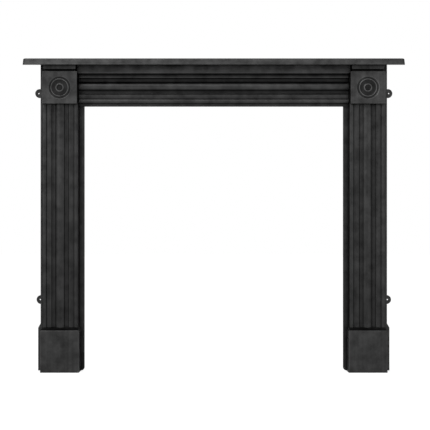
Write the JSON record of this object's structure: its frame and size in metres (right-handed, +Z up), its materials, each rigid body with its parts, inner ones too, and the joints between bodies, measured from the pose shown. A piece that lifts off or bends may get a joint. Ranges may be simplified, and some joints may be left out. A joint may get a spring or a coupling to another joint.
{
  "type": "fireplace mantelpiece",
  "caption": "Cast-iron fireplace surround with a plain shelf, reeded frieze and legs, turned corner roundels, plain plinths and fixing lugs at the back edges.",
  "frame": {"origin": "floor level, midway between the legs and midway between the wall plane and the shelf's front edge", "axes": "+X along the wall to the right as seen from the room, -Y out into the room, +Y to the wall, +Z up"},
  "size_m": [1.4, 0.09, 1.151],
  "materials": {
    "cast_iron": "satin black, rubbed along the reeds"
  },
  "bodies": {
    "root": {"shelf": "cast_iron", "frieze": "cast_iron", "left_leg": "cast_iron", "right_leg": "cast_iron"}
  },
  "joints": []
}
